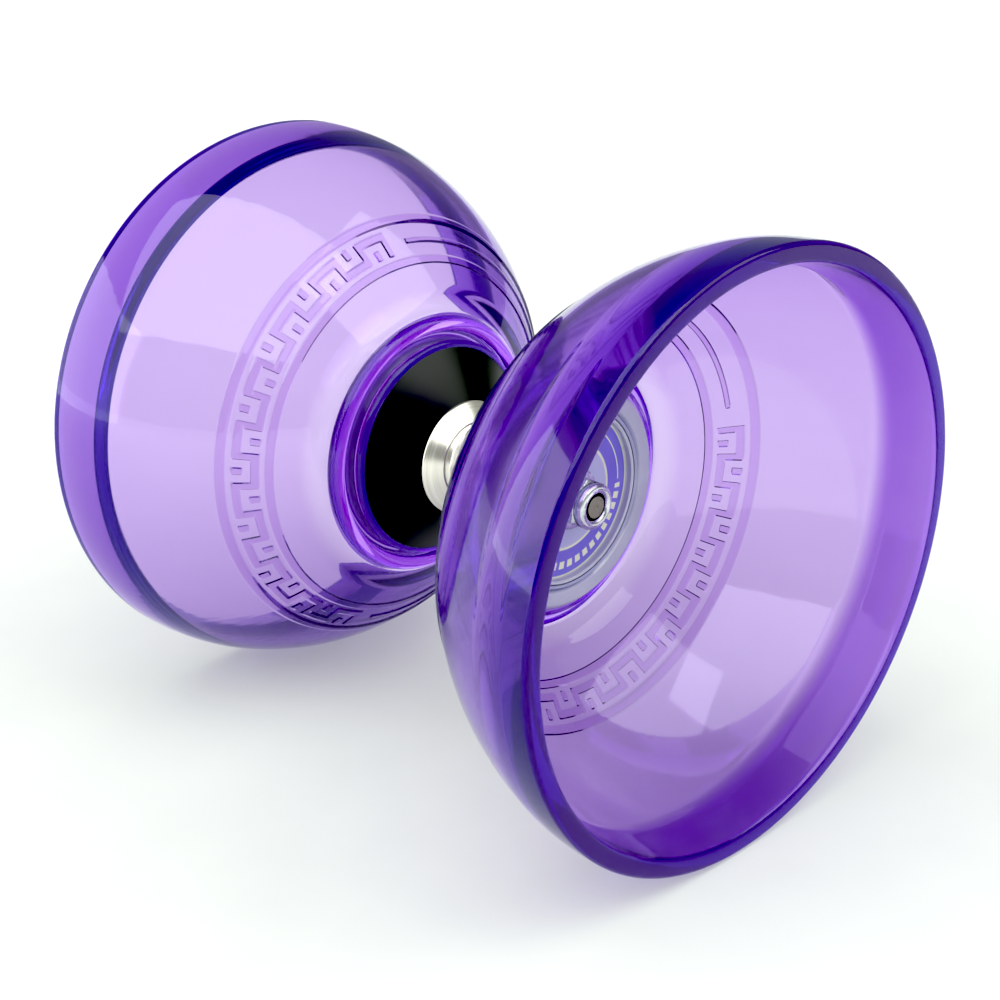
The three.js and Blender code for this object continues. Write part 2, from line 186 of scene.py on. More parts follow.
# Inner disc and its print
DISC_BACK_X = 20.8
DISC_FACE_X = 22.0
DISC_RADIUS = 23.5
PRINT_RADIUS = 15.05
ARC_HALF_WIDTH = 0.16
DASH_HALF_HEIGHT = 0.85
DASH_COUNT = 40
DASH_SHARE = 0.62
PRINT_TURN = -0.03
PRINT_GAP = 0.06

# Ball bearing and roller clutch
BEARING_START_X = 6.3
BEARING_WIDTH = 6.0
BEARING_RADIUS = 8.5
BALL_RADIUS = 1.68
BALL_PITCH_RADIUS = 5.75
BALL_COUNT = 7
TRACK_GAP = 0.06
INNER_SHOULDER = 4.7
OUTER_SHOULDER = 6.85
SHIELD_RADII = (5.0, 6.75)
CLUTCH_HALF_LENGTH = 6.1
SHELL_RADIUS = 6.0
SHELL_BORE = 5.6
SHELL_LIP_RADIUS = 4.4
SHELL_WALL = 0.4
CLUTCH_RACE_RADII = (3.1, 4.0)
ROLLER_RADIUS = 0.72
ROLLER_COUNT = 6

# The left cup is turned about the axle against the right one.
HALF_TURNS = {"right": 0.0, "left": 79.0}

# Camera and stage
CAMERA_AZIMUTH = 45.18
CAMERA_ELEVATION = 23.41
CAMERA_DISTANCE = 404.76
CAMERA_ACROSS = 1.46
CAMERA_UP = -6.82
CAMERA_LENS = 69.09
SURROUND = 0.4
BACKGROUND = 1.05
LIGHT_TINT = (0.95, 1.0, 0.94)
FLOOR_TINT = (0.97, 1.02, 0.97)
BLACK_LEVEL = 0.05
# Floor glow as (distance from the middle in metres, level): lower near the toy as painted shade
# under it
FLOOR_GLOW_WITH_PAINTED_SHADE = ((0.08, 0.3), (0.25, 0.48), (1.0, 0.9))
FLOOR_RADIUS = 6.0
FLOOR_DROP = 0.0001

# Soft boxes as (name, azimuth, elevation, distance, size, radiance), in degrees and metres
LIGHTS = (
    ("front_light", 20, 64, 1.0, (1.7, 1.2), 2.4),
    ("side_light", -40, 8, 1.0, (1.0, 0.9), 2.2),
    ("back_light", 122, 48, 1.0, (0.9, 0.7), 2.2),
)

# How many facets go round a piece
WIDE_TURNS = 160
SMALL_TURNS = 96

# ---- Section outlines: corners as (x, radius, edge rounding), in millimetres ----

BORE = ROD_RADIUS + FIT_GAP
NUT_HEX_END = NUT_START_X + NUT_HEX_HEIGHT
NUT_END = NUT_START_X + NUT_HEIGHT

HUB_OUTLINE = (
    (HUB_BACK_X, BORE, 0),
    (HUB_BACK_X, HUB_RADIUS, 0.1),
    (HUB_SHOULDER_X, HUB_RADIUS, 0.3),
    (HUB_NOSE_X, HUB_NOSE_RADIUS, 0.25),
    (HUB_NOSE_X, POCKET_RADIUS, 0.1),
    (POCKET_FLOOR_X, POCKET_RADIUS, 0.2),
    (POCKET_FLOOR_X, SPIGOT_RADIUS, 0.1),
    (SPIGOT_X, SPIGOT_RADIUS, 0.1),
    (SPIGOT_X, BORE, 0),
)

DISC_OUTLINE = (
    (DISC_BACK_X, BORE, 0),
    (DISC_BACK_X, DISC_RADIUS, 0.2),
    (22.6, DISC_RADIUS, 0.5),
    (23.0, 22.8, 0.4),
    (23.0, 20.6, 0.8),
    (22.75, 19.6, 0.6),
    (22.75, 19.1, 0.3),
    (22.55, 18.8, 0.3),
    (22.55, 18.3, 0.3),
    (DISC_FACE_X, 17.6, 0.5),
    (DISC_FACE_X, BORE, 0.1),
)

SLEEVE_HALF_OUTLINE = (
    (WAIST_HALF_LENGTH, WAIST_RADIUS, 0.1),
    (FLANGE_INNER_X, FLANGE_RADIUS, 0.05),
    (FLANGE_OUTER_X, FLANGE_RADIUS, 0.05),
    (FLANGE_OUTER_X, SLEEVE_END_RADIUS, 0.1),
    (SLEEVE_END_X, SLEEVE_END_RADIUS, 0.2),
    (SLEEVE_END_X, BEARING_BORE, 0.2),
    (BEARING_STEP_X, BEARING_BORE, 0.1),
    (BEARING_STEP_X, CLUTCH_BORE, 0.1),
)

WASHER_OUTLINE = (
    (WASHER_START_X, WASHER_BORE, 0.05),
    (WASHER_START_X, WASHER_RADIUS, 0.1),
    (WASHER_END_X, WASHER_RADIUS, 0.35),
    (WASHER_END_X, WASHER_BORE, 0.15),
)

NUT_COLLAR_OUTLINE = (
    (NUT_HEX_END, NUT_FACE_RADIUS, 0),
    (NUT_HEX_END + 0.02, NUT_COLLAR_RADIUS + 0.1, 0.2),
    (NUT_END, NUT_COLLAR_RADIUS, 0.5),
    (NUT_END, NUT_MOUTH_RADIUS, 0.25),
    (NUT_END - NUT_CRIMP, NUT_MOUTH_RADIUS, 0.1),
    (NUT_END - NUT_CRIMP, INSERT_RADIUS, 0.1),
    (NUT_END - INSERT_LENGTH, INSERT_RADIUS, 0.1),
    (NUT_END - INSERT_LENGTH, BORE, 0.1),
    (NUT_START_X, BORE, 0.3),
)

INSERT_OUTLINE = (
    (NUT_END - INSERT_LENGTH + FIT_GAP, BORE, 0.2),
    (NUT_END - INSERT_LENGTH + FIT_GAP, INSERT_RADIUS - FIT_GAP, 0.1),
    (NUT_END - NUT_CRIMP - FIT_GAP, INSERT_RADIUS - FIT_GAP, 0.1),
    (NUT_END - NUT_CRIMP - FIT_GAP, BORE, 0.2),
)

CLUTCH_SHELL_OUTLINE = (
    (-CLUTCH_HALF_LENGTH, SHELL_RADIUS, 0.3),
    (CLUTCH_HALF_LENGTH, SHELL_RADIUS, 0.3),
    (CLUTCH_HALF_LENGTH, SHELL_LIP_RADIUS, 0.1),
    (CLUTCH_HALF_LENGTH - SHELL_WALL, SHELL_LIP_RADIUS, 0.1),
    (CLUTCH_HALF_LENGTH - SHELL_WALL, SHELL_BORE, 0.1),
    (SHELL_WALL - CLUTCH_HALF_LENGTH, SHELL_BORE, 0.1),
    (SHELL_WALL - CLUTCH_HALF_LENGTH, SHELL_LIP_RADIUS, 0.1),
    (-CLUTCH_HALF_LENGTH, SHELL_LIP_RADIUS, 0.1),
)

CLUTCH_RACE_OUTLINE = (
    (-CLUTCH_HALF_LENGTH, CLUTCH_RACE_RADII[0], 0.15),
    (CLUTCH_HALF_LENGTH, CLUTCH_RACE_RADII[0], 0.15),
    (CLUTCH_HALF_LENGTH, CLUTCH_RACE_RADII[1], 0.2),
    (-CLUTCH_HALF_LENGTH, CLUTCH_RACE_RADII[1], 0.2),
)

# ---- Colours, linear ----

SMOKE = (0.62, 0.62, 0.90)
CREAM = (0.95, 0.97, 0.72)
INDIGO = (0.28, 0.24, 0.80)
PLATE_RIM = (0.60, 0.60, 0.72)
PLATE_GROOVE = (0.38, 0.37, 0.62)
DARK_NYLON = (0.015, 0.015, 0.018)
SLEEVE_STEEL = (0.82, 0.79, 0.72)
BEARING_STEEL = (0.72, 0.73, 0.75)
SAWN_STEEL = (0.33, 0.31, 0.26)
# Near-black paint on the rod's thread, as painted shade in the gap inside the nut
THREAD_PAINTED_SHADE = (0.012, 0.012, 0.012)
WHITE = (1.0, 1.0, 1.0)

# Violet plastic: the colour and density of its absorption, and its plain and raised faces
VIOLET_ABSORPTION = (0.39, 0.0, 0.76)
VIOLET_DENSITY = 335.0
PLAIN_TINT = (0.97, 0.95, 1.0)
RAISED_TINT = (0.80, 0.64, 0.90)

# The disc's rings, as (radius, colour): a printed cream and indigo band, then lighter and darker
# rings across its stepped outer zone
DISC_BANDS = (
    (0.0, SMOKE), (10.9, SMOKE), (11.0, CREAM), (11.5, CREAM), (11.6, INDIGO),
    (17.3, INDIGO), (17.4, CREAM), (17.65, CREAM), (17.8, PLATE_RIM), (18.4, PLATE_RIM),
    (18.9, PLATE_GROOVE), (19.3, PLATE_RIM), (19.8, PLATE_GROOVE), (20.4, PLATE_RIM),
    (DISC_RADIUS, PLATE_RIM),
)


# ---- Outlines ----


def rounded(corners, steps=6):
    """The closed outline through [x, radius, fillet] corners, each corner rounded."""
    outline = []
    for i, (x, r, fillet) in enumerate(corners):
        corner = Vector((x, r))
        if fillet == 0:
            outline.append((x, r))
            continue
        before = Vector(corners[i - 1][:2]) - corner
        after = Vector(corners[(i + 1) % len(corners)][:2]) - corner
        half_angle = before.angle(after) / 2
        reach = min(fillet / math.tan(half_angle), before.length * 0.49, after.length * 0.49)
        radius = reach * math.tan(half_angle)
        centre = corner + (before.normalized() + after.normalized()).normalized() * (
            radius / math.sin(half_angle)
        )
        start = corner + before.normalized() * reach - centre
        end = corner + after.normalized() * reach - centre
        for step in range(steps + 1):
            outline.append(tuple(centre + start.slerp(end, step / steps)))
    return outline


def bezier(start, control, end, shares):
    """Points of a quadratic curve at the given shares of its parameter, as an array."""
    t = np.asarray(shares)[:, None]
    a, b, c = (np.array(p) for p in (start, control, end))
    return (1 - t) ** 2 * a + 2 * t * (1 - t) * b + t**2 * c


def eased(start, end, count):
    """Points from start to end along x, easing in and out in radius."""
    share = np.linspace(0, 1, count)
    ease = share**2 * (3 - 2 * share)
    return np.column_stack(
        (start[0] + (end[0] - start[0]) * share, start[1] + (end[1] - start[1]) * ease)
    )


def inward(points, depth):
    """An outline's points moved off it, towards the axle side, by depth."""
    along = np.gradient(points, axis=0)
    along /= np.linalg.norm(along, axis=1)[:, None]
    return points + depth * np.column_stack((along[:, 1], -along[:, 0]))


# ---- Meshes ----


def turns(count):
    """Angles round the axle, in degrees."""
    return np.arange(count) * 360.0 / count


def revolved(xs, rs, angles, closed=True):
    """A bmesh from stations and radii, in millimetres, revolved through angles in degrees.

    xs and rs hold one row for each angle. A closed outline is a ring's section; an open one
    starts and ends on the axle."""
    xs, rs = np.atleast_2d(xs), np.atleast_2d(rs)
    rows, columns = len(angles), xs.shape[1]
    xs, rs = np.broadcast_to(xs, (rows, columns)), np.broadcast_to(rs, (rows, columns))
    theta = np.radians(angles)[:, None]
    places = np.stack((xs, rs * np.cos(theta), rs * np.sin(theta)), axis=-1) * MM
    mesh = bmesh.new()
    grid = [[mesh.verts.new(p) for p in row] for row in places]
    last = columns if closed else columns - 1
    for i in range(rows):
        near, far = grid[i], grid[(i + 1) % rows]
        for j in range(last):
            k = (j + 1) % columns
            mesh.faces.new((near[j], near[k], far[k], far[j]))
    if not closed:
        bmesh.ops.remove_doubles(mesh, verts=mesh.verts, dist=1e-7)
    bmesh.ops.recalc_face_normals(mesh, faces=mesh.faces)
    return mesh


def lathe(outline, count=128, closed=True):
    """A bmesh of an outline revolved about the axle."""
    points = np.array(outline)
    return revolved(points[:, 0], points[:, 1], turns(count), closed)


def place(mesh, name, node, material, side="right", turn=0.0, sharp=30.0):
    """Makes a bmesh built on the right into the named piece, in place of its CAD node."""
    half_turn = Matrix.Rotation(math.pi, 4, "Z") if side == "left" else Matrix()
    mesh.transform(half_turn @ Matrix.Rotation(math.radians(turn), 4, "X"))
    data = bpy.data.meshes.new(name)
    mesh.to_mesh(data)
    mesh.free()
    data.shade_smooth()
    data.set_sharp_from_angle(angle=math.radians(sharp))
    data.materials.append(material)
    piece = bpy.data.objects.new(name, data)
    bpy.context.scene.collection.objects.link(piece)
    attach(piece, frame["nodes"][node]["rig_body"])
    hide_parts(node)
    return piece


# ---- Materials ----


class Shader:
    """A material's node tree, with short calls to add and link its nodes."""

    def __init__(self, name):
        self.material = bpy.data.materials.new(name)
        self.material.use_nodes = True
        self.tree = self.material.node_tree
        self.tree.nodes.clear()
        self.output = self.tree.nodes.new("ShaderNodeOutputMaterial")
        self.surface = self.add("ShaderNodeBsdfPrincipled")
        self.link(self.surface, "BSDF", self.output, "Surface")

    def add(self, kind, **values):
        """A new node with the given properties."""
        node = self.tree.nodes.new(kind)
        for key, value in values.items():
            setattr(node, key, value)
        return node

    def link(self, source, output, target, socket):
        """Joins one node's output to another's input."""
        self.tree.links.new(source.outputs[output], target.inputs[socket])

    def set(self, **values):
        """Sets the surface shader's sockets, named with _ for a space."""
        for key, value in values.items():
            self.surface.inputs[key.replace("_", " ")].default_value = value

    def place(self, scale=(1.0, 1.0, 1.0)):
        """The piece's own coordinates, in metres, multiplied by scale."""
        coordinates = self.add("ShaderNodeTexCoord")
        mapping = self.add("ShaderNodeMapping")
        mapping.inputs["Scale"].default_value = scale
        self.link(coordinates, "Object", mapping, "Vector")
        return mapping

    def noise(self, scale, stretch=(1.0, 1.0, 1.0), detail=3.0):
        """Noise with scale features to a metre, squeezed along each axis by stretch."""
        node = self.add("ShaderNodeTexNoise")
        node.inputs["Scale"].default_value = scale
        node.inputs["Detail"].default_value = detail
        self.link(self.place(stretch), "Vector", node, "Vector")
        return node

    def math(self, operation, first, second=0.0, third=0.0):
        """A Math node. Each operand is a number or a (node, output) pair."""
        node = self.add("ShaderNodeMath", operation=operation)
        for socket, operand in zip(node.inputs, (first, second, third)):
            if isinstance(operand, tuple):
                self.tree.links.new(operand[0].outputs[operand[1]], socket)
            else:
                socket.default_value = operand
        return node

    def ramp(self, source, output, stops):
        """A colour ramp: stops are (place, colour)."""
        node = self.add("ShaderNodeValToRGB")
        elements = node.color_ramp.elements
        while len(elements) < len(stops):
            elements.new(1.0)
        for element, (position, colour) in zip(elements, stops):
            element.position = position
            element.color = (*colour, 1.0)
        self.link(source, output, node, "Fac")
        return node

    def vary(self, source, output, socket, low, high, start=0.0, end=1.0):
        """Sends a value from start to end to a surface socket as low to high."""
        node = self.add("ShaderNodeMapRange")
        node.inputs["From Min"].default_value = start
        node.inputs["From Max"].default_value = end
        node.inputs["To Min"].default_value = low
        node.inputs["To Max"].default_value = high
        self.link(source, output, node, "Value")
        self.link(node, "Result", self.surface, socket)

    def blend(self, share, first, second, kind="MIX"):
        """One colour output over another. share is a (node, output) pair or a number."""
        node = self.add("ShaderNodeMix", data_type="RGBA", blend_type=kind)
        factor, below, above = node.inputs[0], node.inputs[6], node.inputs[7]
        for socket, value in ((factor, share), (below, first), (above, second)):
            if isinstance(value, tuple) and isinstance(value[0], bpy.types.Node):
                self.tree.links.new(value[0].outputs[value[1]], socket)
            else:
                socket.default_value = value
        return node, 2

    def bump(self, source, output, height, strength=1.0):
        """Bumps the surface by a 0 to 1 value, height metres high."""
        node = self.add("ShaderNodeBump")
        node.inputs["Distance"].default_value = height
        node.inputs["Strength"].default_value = strength
        self.link(source, output, node, "Height")
        self.link(node, "Normal", self.surface, "Normal")

    def coordinates(self):
        """A node whose X, Y and Z outputs are the place on the toy, in metres."""
        coordinates = self.add("ShaderNodeTexCoord")
        split = self.add("ShaderNodeSeparateXYZ")
        self.link(coordinates, "Object", split, "Vector")
        return split

    def radius(self):
        """Distance from the axle in metres, as a (node, output) pair."""
        split = self.coordinates()
        across = self.math("MULTIPLY", (split, "Y"), (split, "Y"))
        squares = self.math("MULTIPLY_ADD", (split, "Z"), (split, "Z"), (across, "Value"))
        return self.math("SQRT", (squares, "Value")), "Value"


def cup_plastic():
    """Clear violet TPU: colour comes from the thickness of the plastic, with a painted glow at its
    lip and rim.
    """
    shader = Shader("cup_plastic")
    shader.set(IOR=1.5, Transmission_Weight=1.0)
    raised = shader.add("ShaderNodeAttribute", attribute_name="raised")
    tint = shader.ramp(raised, "Fac", [(0.0, PLAIN_TINT), (1.0, RAISED_TINT)])
    shader.link(tint, "Color", shader.surface, "Base Color")
    # Painted glow: emission set by distance along the axle, strongest at the lip and the rim
    along = shader.math("ABSOLUTE", (shader.coordinates(), "X")), "Value"
    share = shader.math("MULTIPLY", along, 1 / (HALF_LENGTH * MM))
    stops = [(x / HALF_LENGTH, colour) for x, colour in PAINTED_EDGE_GLOW]
    painted_glow = shader.ramp(share, "Value", stops)
    shader.link(painted_glow, "Color", shader.surface, "Emission Color")
    shader.set(Emission_Strength=1.0)
    haze = shader.noise(60, detail=4.0)
    shader.vary(haze, "Fac", "Roughness", 0.02, 0.07)
    flow = shader.noise(35, detail=2.0)
    shader.bump(flow, "Fac", 0.0004, 0.08)
    absorption = shader.add("ShaderNodeVolumeAbsorption")
    absorption.inputs["Color"].default_value = (*VIOLET_ABSORPTION, 1.0)
    absorption.inputs["Density"].default_value = VIOLET_DENSITY
    shader.link(absorption, "Volume", shader.output, "Volume")
    return shader.material


def hub_black():
    """Black moulded nylon with a soft sheen and a fine moulded grain."""
    shader = Shader("hub_black")
    cloud = shader.noise(90, detail=4.0)
    tone = shader.ramp(cloud, "Fac", [(0.3, (0.001, 0.001, 0.002)), (0.7, (0.004, 0.005, 0.003))])
    shader.link(tone, "Color", shader.surface, "Base Color")
    shader.vary(cloud, "Fac", "Roughness", 0.24, 0.4)
    grain = shader.noise(2500)
    shader.bump(grain, "Fac", 0.00002, 0.3)
    return shader.material


def disc_smoke():
    """Pale smoke plastic printed with an indigo band, cream rings and a row of cream dashes."""
    shader = Shader("disc_smoke")
    shader.set(Coat_Weight=0.6, Coat_Roughness=0.08)
    radius = shader.radius()
    share = shader.math("MULTIPLY", radius, 1 / (DISC_RADIUS * MM))
    tone = shader.ramp(share, "Value", [(r / DISC_RADIUS, colour) for r, colour in DISC_BANDS])
    spot = shader.coordinates()
    angle = shader.math("ARCTAN2", (spot, "Z"), (spot, "Y")), "Value"
    on_arc = shader.math("GREATER_THAN", angle, PRINT_TURN), "Value"
    arc = shader.math("COMPARE", radius, PRINT_RADIUS * MM, ARC_HALF_WIDTH * MM), "Value"
    arc = shader.math("MULTIPLY", on_arc, arc), "Value"
    past = shader.math("LESS_THAN", angle, PRINT_TURN - PRINT_GAP), "Value"
    row = shader.math("COMPARE", radius, PRINT_RADIUS * MM, DASH_HALF_HEIGHT * MM), "Value"
    pitch = shader.math("MULTIPLY", angle, DASH_COUNT / (2 * math.pi)), "Value"
    dash = shader.math("LESS_THAN", (shader.math("FRACT", pitch), "Value"), DASH_SHARE), "Value"
    dashes = shader.math("MULTIPLY", past, row), "Value"
    dashes = shader.math("MULTIPLY", dashes, dash), "Value"
    printed = shader.math("MAXIMUM", arc, dashes), "Value"
    tone = shader.blend(printed, (tone, "Color"), (*CREAM, 1.0))
    cloud = shader.noise(150, detail=4.0)
    shade = shader.ramp(cloud, "Fac", [(0.3, (0.9, 0.9, 0.92)), (0.7, WHITE)])
    tone = shader.blend(1.0, tone, (shade, "Color"), "MULTIPLY")
    shader.link(*tone, shader.surface, "Base Color")
    shader.vary(cloud, "Fac", "Roughness", 0.12, 0.25)
    return shader.material


def axle_steel():
    """Steel whose sawn end is bright, and whose chamfer and thread are painted near-black as shade
    in the gap inside the nut's mouth.
    """
    shader = Shader("axle_steel")
    shader.set(Metallic=1.0)
    share = shader.math("MULTIPLY", shader.radius(), 1 / (ROD_RADIUS * MM))
    # Outside the sawn end the rod is painted near-black, as shade in the gap inside the nut's
    # mouth
    tone = shader.ramp(share, "Value", [(0.75, SAWN_STEEL), (0.79, THREAD_PAINTED_SHADE)])
    marks = shader.noise(1500, detail=5.0)
    shade = shader.ramp(marks, "Fac", [(0.3, (0.8, 0.8, 0.8)), (0.7, WHITE)])
    tone = shader.blend(1.0, (tone, "Color"), (shade, "Color"), "MULTIPLY")
    shader.link(*tone, shader.surface, "Base Color")
    shader.vary(marks, "Fac", "Roughness", 0.22, 0.4)
    shader.bump(marks, "Fac", 0.00001, 0.2)
    return shader.material


def turned_steel(name, colour, low, high):
    """Steel with fine turning marks round the axle."""
    shader = Shader(name)
    shader.set(Metallic=1.0)
    marks = shader.noise(900, (6.0, 0.05, 0.05), detail=5.0)
    bright = tuple(min(1.0, c * 1.06) for c in colour)
    dark = tuple(c * 0.9 for c in colour)
    tone = shader.ramp(marks, "Fac", [(0.35, dark), (0.65, bright)])
    shader.link(tone, "Color", shader.surface, "Base Color")
    shader.vary(marks, "Fac", "Roughness", low, high)
    shader.bump(marks, "Fac", 0.00001, 0.15)
    return shader.material


def zinc_steel():
    """Zinc-plated steel: a bluish, slightly mottled bright metal."""
    shader = Shader("zinc_steel")
    shader.set(Metallic=1.0)
    mottle = shader.noise(700, detail=6.0)
    tone = shader.ramp(mottle, "Fac", [(0.3, (0.52, 0.55, 0.60)), (0.7, (0.78, 0.80, 0.82))])
    shader.link(tone, "Color", shader.surface, "Base Color")
    shader.vary(mottle, "Fac", "Roughness", 0.18, 0.34)
    shader.bump(mottle, "Fac", 0.00003, 0.2)
    return shader.material


def nylon(name, colour):
    """Dull moulded nylon."""
    shader = Shader(name)
    cloud = shader.noise(400, detail=5.0)
    dark = tuple(c * 0.7 for c in colour)
    tone = shader.ramp(cloud, "Fac", [(0.3, dark), (0.7, colour)])
    shader.link(tone, "Color", shader.surface, "Base Color")
    shader.vary(cloud, "Fac", "Roughness", 0.38, 0.55)
    shader.bump(cloud, "Fac", 0.00003, 0.3)
    return shader.material


# ---- Cups ----


def motif_bars():
    """The plain meander round the bowl: bars as (start, end, inner, outer), in motifs."""
    bars = [
        (i + start, i + end, inner, outer)
        for i in range(MOTIF_COUNT)
        for start, end, inner, outer in MOTIF_BARS
    ]
    return bars + [(MOTIF_COUNT, MOTIF_COUNT + MOTIF_BAR_WIDTH, 0.0, 1.0)]


def relief_bars():
    """Every raised bar as (start angle, end angle, inner radius, outer radius)."""
    inner_edge, outer_edge = MOTIF_RADII
    height = outer_edge - inner_edge
    bars = []
    for start, end, low, high in motif_bars():
        from_angle = MOTIF_START + MOTIF_PITCH * end
        to_angle = MOTIF_START + MOTIF_PITCH * start
        bars.append((from_angle, to_angle, inner_edge + low * height, inner_edge + high * height))
    ring_start = MOTIF_START + MIDDLE_RING_GAP
    motifs_end = MOTIF_START + MOTIF_PITCH * (MOTIF_COUNT + MOTIF_BAR_WIDTH)
    ring_end = 360 + motifs_end - MIDDLE_RING_GAP
    half = MIDDLE_RING_WIDTH / 2
    bars.append((ring_start, ring_end, MIDDLE_RING_RADIUS - half, MIDDLE_RING_RADIUS + half))
    return bars


def relief(angles, radii):
    """How far the raised decoration stands out, 0 to 1, for each angle and radius."""
    angle = angles[:, None]
    radius = radii[None, :]
    bevel_angle = math.degrees(RELIEF_BEVEL / MIDDLE_RING_RADIUS)
    height = np.zeros((len(angles), len(radii)))
    for start, end, inner, outer in relief_bars():
        middle = (start + end) / 2
        off = np.abs((angle - middle + 180.0) % 360.0 - 180.0)
        across = ((end - start) / 2 - off) / bevel_angle
        along = np.minimum(radius - inner, outer - radius) / RELIEF_BEVEL
        height = np.maximum(height, np.clip(np.minimum(across, along), 0.0, 1.0))
    for ring_radius in RING_RADII:
        along = (RING_WIDTH / 2 - np.abs(radius - ring_radius)) / RELIEF_BEVEL
        height = np.maximum(height, np.clip(along, 0.0, 1.0))
    return height


def with_edges(base, edges, bevel, reach):
    """base values, plus each raised edge and the top of its bevel. base values within reach
    of an edge are dropped."""
    wanted = np.unique(np.round(np.concatenate([edges, edges + bevel, edges - bevel]), 6))
    clear = [b for b in base if np.min(np.abs(wanted - b)) > reach]
    return np.unique(np.concatenate([wanted, clear]))


def bowl_share(radius):
    """The bowl curve's parameter where its outer face has the given radius."""
    shares = np.linspace(0, 1, 2001)
    return np.interp(radius, bezier(BOWL_START, BOWL_CONTROL, BOWL_END, shares)[:, 1], shares)


def cup(side, material):
    """One cup: a closed shell of revolution with the raised decoration on its outside."""
    bars = np.array(relief_bars())
    angle_edges = np.unique(np.round(bars[:, :2] % 360.0, 6))
    bevel_angle = math.degrees(RELIEF_BEVEL / MIDDLE_RING_RADIUS)
    angles = with_edges(turns(240), angle_edges, bevel_angle, 0.2) % 360.0
    angles = np.unique(np.round(angles, 6))
    ring_edges = [r + s * RING_WIDTH / 2 for r in RING_RADII for s in (-1, 1)]
    radius_edges = np.unique(np.round(np.concatenate([bars[:, 2:].ravel(), ring_edges]), 6))
    outer_radii = bezier(BOWL_START, BOWL_CONTROL, BOWL_END, np.linspace(0, 1, 60))[:, 1]
    bowl_radii = with_edges(outer_radii, radius_edges, RELIEF_BEVEL, 0.08)
    bowl_radii = bowl_radii[bowl_radii <= BOWL_END[1]]
    bowl = bezier(BOWL_START, BOWL_CONTROL, BOWL_END, bowl_share(bowl_radii))

    seat_inner = HUB_RADIUS + FIT_GAP
    seat_outer = seat_inner + SEAT_RING_WIDTH
    floor_outline = rounded(
        [
            (FLOOR_INNER_X, BORE, 0.2),
            (FLOOR_OUTER_X, BORE, 0.2),
            (FLOOR_OUTER_X, seat_inner, 0.15),
            (SEAT_RING_X, seat_inner, 0.2),
            (SEAT_RING_X, seat_outer, 0.2),
            (CHANNEL_X, seat_outer, 0.4),
            (CHANNEL_X, LIP_CENTRE[1] - LIP_HALF_WIDTH, 0),
        ],
    )
    sweep = np.radians(np.linspace(*LIP_SWEEP, 24))
    lip = np.column_stack(
        (
            LIP_CENTRE[0] - (LIP_CENTRE[0] - LIP_X) * np.cos(sweep),
            LIP_CENTRE[1] + LIP_HALF_WIDTH * np.sin(sweep),
        )
    )
    rim = rounded(
        [
            (BOWL_END[0], BOWL_END[1], 0),
            (HALF_LENGTH, RIM_RADIUS, RIM_ROUNDING),
            (HALF_LENGTH, MOUTH_RADIUS, RIM_ROUNDING),
            (BAND_INNER_START[0], BAND_INNER_START[1], 0),
        ],
    )[1:-1]
    band = bezier(BOWL_END, BAND_CONTROL, rim[0], np.linspace(0, 1, 12))[1:]
    inner_band = bezier(rim[-1], BAND_INNER_CONTROL, BAND_INNER_START, np.linspace(0, 1, 12))
    inner_shares = np.linspace(*BOWL_INNER_SHARES, 40)
    inner_bowl = inward(bezier(BOWL_START, BOWL_CONTROL, BOWL_END, inner_shares), BOWL_WALL)
    step = eased(inner_bowl[-1], BAND_INNER_START, 14)[1:-1]
    well_corner = (FLOOR_INNER_X, WELL_CORNER_RADIUS)
    well_end = (FLOOR_INNER_X, WELL_RADIUS)
    well = bezier(inner_bowl[0], well_corner, well_end, np.linspace(0, 1, 8))[1:-1]
    collar = rounded(
        [
            (FLOOR_INNER_X, WELL_RADIUS, 0),
            (FLOOR_INNER_X, COLLAR_RADII[1], 0.4),
            (COLLAR_X, COLLAR_RADII[1], 0.5),
            (COLLAR_X, COLLAR_RADII[0], 0.3),
            (FLOOR_INNER_X, COLLAR_RADII[0], 0),
        ],
    )
    smooth = np.concatenate(
        [
            band,
            rim[1:],
            inner_band[1:],
            step[::-1],
            inner_bowl[::-1],
            well,
            collar,
            floor_outline,
            lip,
        ]
    )

    height = relief(angles, bowl_radii) * RELIEF_HEIGHT
    along = np.gradient(bowl, axis=0)
    along /= np.linalg.norm(along, axis=1)[:, None]
    bowl_xs = bowl[:, 0] - height * along[:, 1]
    bowl_rs = bowl[:, 1] + height * along[:, 0]
    rows = np.ones((len(angles), 1))
    xs = np.concatenate([bowl_xs, rows * smooth[:, 0]], axis=1)
    rs = np.concatenate([bowl_rs, rows * smooth[:, 1]], axis=1)
    mesh = revolved(xs, rs, angles)
    shell = place(
        mesh,
        f"{side}_cup_shell",
        f"{side}_cup",
        material,
        side,
        turn=HALF_TURNS[side],
        sharp=RELIEF_SHARP_ANGLE,
    )
    raised = np.zeros(xs.shape, dtype=np.float32)
    raised[:, : height.shape[1]] = height / RELIEF_HEIGHT
    shell.data.attributes.new("raised", "FLOAT", "POINT").data.foreach_set("value", raised.ravel())
    return shell


# ---- Hub, disc and sleeve ----


def hub(side, material):
    """The black cone that leads the string down to the sleeve."""
    mesh = lathe(rounded(HUB_OUTLINE), WIDE_TURNS)
    return place(mesh, f"{side}_hub_cone", f"{side}_hub", material, side)


def disc(side, material):
    """The clear smoke-grey plate under the nut, stepped towards its rim."""
    mesh = lathe(rounded(DISC_OUTLINE, steps=4), WIDE_TURNS)
    return place(mesh, f"{side}_disc", f"{side}_inner_disc", material, side)


def sleeve(material):
    """The polished waisted sleeve that the string runs on."""
    mirrored = [(-x, r, fillet) for x, r, fillet in reversed(SLEEVE_HALF_OUTLINE)]
    mesh = lathe(rounded([*SLEEVE_HALF_OUTLINE, *mirrored]), WIDE_TURNS)
    return place(mesh, "waisted_sleeve", "string_sleeve", material)


# ---- Axle and fastenings ----


def hexagon_radius(angles):
    """Distance from the axle to the faces of the nut's hexagon, for each angle."""
    return NUT_ACROSS_FLATS / 2 / np.cos(np.radians((angles + 30.0) % 60.0 - 30.0))


